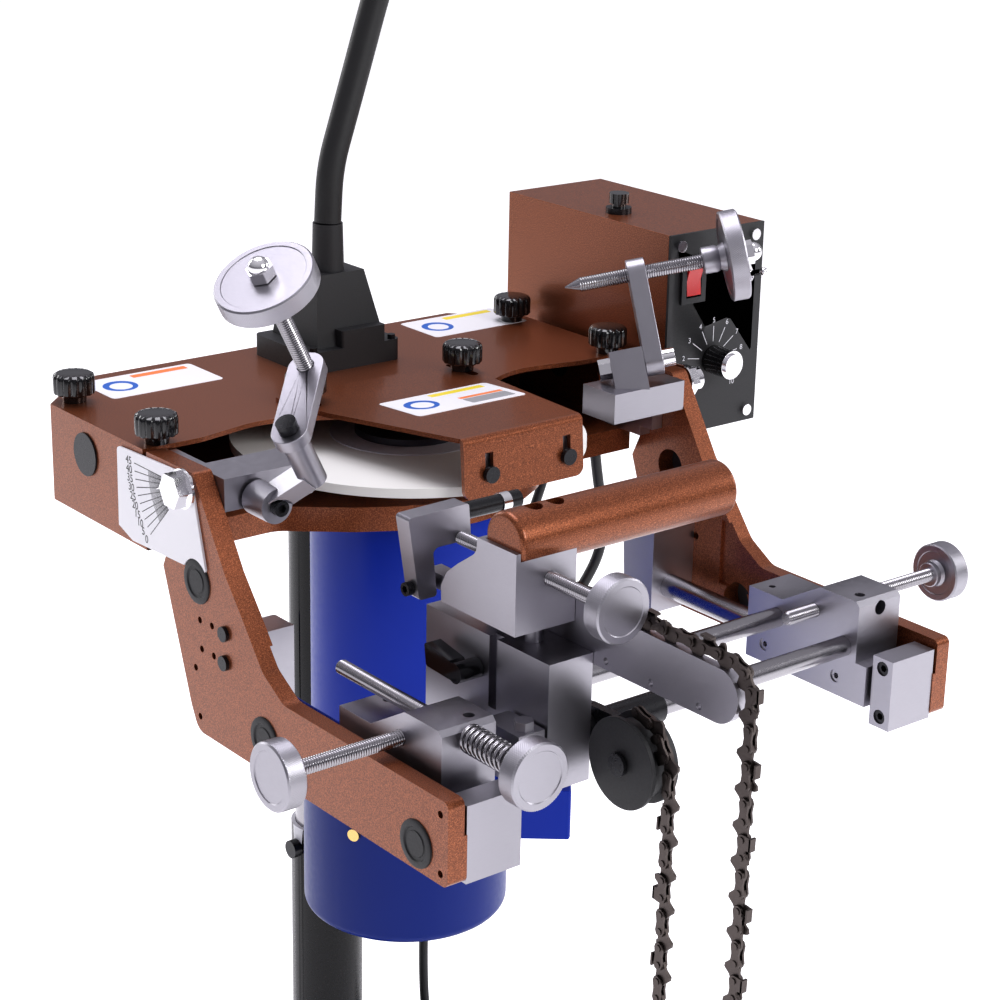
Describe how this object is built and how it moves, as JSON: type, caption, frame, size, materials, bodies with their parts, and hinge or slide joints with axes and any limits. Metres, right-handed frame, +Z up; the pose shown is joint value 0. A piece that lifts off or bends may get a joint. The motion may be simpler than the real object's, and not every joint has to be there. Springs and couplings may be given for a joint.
{
  "type": "tilting_head_chain_grinder",
  "caption": "Pedestal grinder for square-ground saw chain: horizontal stone under a tilting head, sliding chain vise on rails, knurled stops, dressers, motor, speed box and work lamp",
  "frame": {"origin": "centre of the pedestal base plate on the bench", "axes": "+Z up, -Y toward the operator, +X to the operator's right"},
  "size_m": [0.5431, 0.6283, 1.034],
  "materials": {
    "copper_vein": "copper-vein hammered powder coat",
    "black_paint": "black gloss paint",
    "blue_paint": "blue enamel, satin",
    "machined_aluminium": "machined, satin",
    "steel": "ground and threaded steel",
    "chrome_fixings": "bright plated nuts, studs and washers",
    "black_plastic": "gloss black phenolic",
    "black_matte": "matt black moulding",
    "red_plastic": "red rocker",
    "stone_white": "white bonded abrasive",
    "chain_steel": "dark oiled chain steel",
    "black_oxide": "black oxide fixings",
    "cord_black": "black cable sheath",
    "scale_white": "white plate with black graduations"
  },
  "bodies": {
    "head": {"pedestal": "black_paint", "column_pipe": "steel", "column_sleeve": "black_paint", "motor_plate": "copper_vein", "head_wall": "copper_vein", "cover_plate": "copper_vein", "cover_knobs": "black_plastic", "pivot_blocks": "machined_aluminium", "pivot_bolts": "chrome_fixings", "control_box": "copper_vein", "control_panel": "black_matte", "lamp_base": "black_matte", "lamp_neck": "cord_black", "lamp_shade": "black_matte", "motor_body": "blue_paint", "motor_cup": "blue_paint", "terminal_box": "blue_paint", "motor_cable": "cord_black", "mains_lead": "cord_black", "lead_coil": "cord_black", "mains_plug": "black_matte", "head_fasteners": "black_oxide"},
    "guard": {"guard_plate": "copper_vein"},
    "shield": {"guard_shield": "machined_aluminium"},
    "wheel": {"wheel_arbor": "steel", "grinding_stone": "stone_white"},
    "speed": {"speed_knob": "black_plastic"},
    "rocker": {"power_rocker": "red_plastic"},
    "toggle": {"direction_toggle": "chrome_fixings"},
    "breaker": {"breaker_button": "black_plastic"},
    "arms": {"arm_left": "copper_vein", "arm_right": "copper_vein", "arm_plugs": "black_matte", "scale_plate": "scale_white", "rail_blocks": "machined_aluminium", "slide_rails": "steel", "arm_screws": "black_oxide"},
    "carriage": {"carriage_left": "machined_aluminium", "carriage_right": "machined_aluminium", "cross_shafts": "steel", "carriage_fittings": "machined_aluminium"},
    "stop_x_left": {"x_stop_left": "machined_aluminium"},
    "stop_x_right": {"x_stop_right": "machined_aluminium"},
    "stop_y": {"y_stop": "machined_aluminium"},
    "vise": {"vise_lower_block": "machined_aluminium", "roller_hanger": "black_oxide"},
    "vise_top": {"vise_top_block": "machined_aluminium", "lift_handle": "copper_vein", "guide_bar": "machined_aluminium", "saw_chain": "chain_steel"},
    "idler": {"idler_roller": "black_matte"},
    "pawl": {"pawl_plate": "machined_aluminium", "pawl_pins": "black_oxide"},
    "adjuster": {"pawl_adjuster": "machined_aluminium"},
    "lever": {"clamp_lever": "black_plastic"},
    "dresser_link": {"dresser_link_left": "machined_aluminium"},
    "dresser_left": {"dresser_arm_left": "machined_aluminium"},
    "dressing_screw_left": {"dresser_screw_left": "machined_aluminium"},
    "dresser_right": {"dresser_arm_right": "machined_aluminium"},
    "dressing_screw_right": {"dresser_screw_right": "machined_aluminium"}
  },
  "joints": [
    {"name": "head_tilt", "type": "hinge", "parent": "head", "child": "arms", "pos_m": [0, -0.1398, 0.61], "axis": [-1, 0, 0], "range_deg": [-16, 28]},
    {"name": "stone_spin", "type": "hinge", "parent": "head", "child": "wheel", "pos_m": [0, -0.0948, 0.595], "axis": [0, 0, 1], "continuous": true},
    {"name": "guard_slide", "type": "slide", "parent": "head", "child": "guard", "axis": [0, 1, 0], "range_m": [-0.011, 0.0015]},
    {"name": "shield_height", "type": "slide", "parent": "guard", "child": "shield", "axis": [0, 0, 1], "range_m": [0, 0.008]},
    {"name": "speed_turn", "type": "hinge", "parent": "head", "child": "speed", "pos_m": [0.2407, -0.121, 0.614], "axis": [0, -1, 0], "range_deg": [-135, 135]},
    {"name": "power_rock", "type": "hinge", "parent": "head", "child": "rocker", "pos_m": [0.2185, -0.1188, 0.673], "axis": [1, 0, 0], "range_deg": [-9, 0]},
    {"name": "direction_flip", "type": "hinge", "parent": "head", "child": "toggle", "pos_m": [0.266, -0.122, 0.6705], "axis": [1, 0, 0], "range_deg": [0, 32]},
    {"name": "breaker_reset", "type": "slide", "parent": "head", "child": "breaker", "axis": [0, 0, -1], "range_m": [0, 0.0028], "stiffness_N_per_m": 300, "springref_m": -0.002},
    {"name": "carriage_feed", "type": "slide", "parent": "arms", "child": "carriage", "axis": [0, 1, 0], "range_m": [-0.0015, 0.048]},
    {"name": "x_stop_left_turn", "type": "slide", "parent": "carriage", "child": "stop_x_left", "axis": [1, 0, 0], "range_m": [-0.03, 0.02]},
    {"name": "x_stop_right_turn", "type": "slide", "parent": "carriage", "child": "stop_x_right", "axis": [-1, 0, 0], "range_m": [-0.04, 0.04]},
    {"name": "y_stop_turn", "type": "slide", "parent": "carriage", "child": "stop_y", "axis": [0, -1, 0], "range_m": [0, 0.06]},
    {"name": "vise_traverse", "type": "slide", "parent": "carriage", "child": "vise", "axis": [1, 0, 0], "range_m": [-0.001, 0.15]},
    {"name": "vise_lift", "type": "slide", "parent": "vise", "child": "vise_top", "axis": [0, 0, 1], "range_m": [-0.0002, 0.012]},
    {"name": "lever_turn", "type": "hinge", "parent": "vise", "child": "lever", "pos_m": [-0.11, -0.3108, 0.537], "axis": [1, 0, 0], "range_deg": [-45, 45]},
    {"name": "idler_spin", "type": "hinge", "parent": "vise", "child": "idler", "pos_m": [-0.076, -0.4041, 0.5067], "axis": [1, 0, 0], "continuous": true},
    {"name": "pawl_swing", "type": "hinge", "parent": "vise_top", "child": "pawl", "pos_m": [-0.118, -0.2708, 0.575], "axis": [1, 0, 0], "range_deg": [-10, 0]},
    {"name": "pawl_adjust", "type": "slide", "parent": "vise_top", "child": "adjuster", "axis": [0, 1, 0], "range_m": [-0.02, 0.0003]},
    {"name": "link_turn", "type": "hinge", "parent": "head", "child": "dresser_link", "pos_m": [-0.158, -0.1728, 0.604], "axis": [0, 1, 0], "range_deg": [-8, 15]},
    {"name": "dresser_swing_left", "type": "hinge", "parent": "dresser_link", "child": "dresser_left", "pos_m": [-0.158, -0.2008, 0.649], "axis": [-0.4958, -0.1455, 0.8561], "range_deg": [-60, 20]},
    {"name": "dresser_feed_left", "type": "slide", "parent": "dresser_left", "child": "dressing_screw_left", "axis": [-0.4958, -0.1455, 0.8561], "range_m": [-0.015, 0.01]},
    {"name": "dresser_swing_right", "type": "hinge", "parent": "head", "child": "dresser_right", "pos_m": [0.153, -0.1478, 0.632], "axis": [0.7999, -0.5659, 0.2], "range_deg": [0, 40]},
    {"name": "dresser_feed_right", "type": "slide", "parent": "dresser_right", "child": "dressing_screw_right", "axis": [0.7999, -0.5659, 0.2], "range_m": [-0.015, 0.03]}
  ]
}
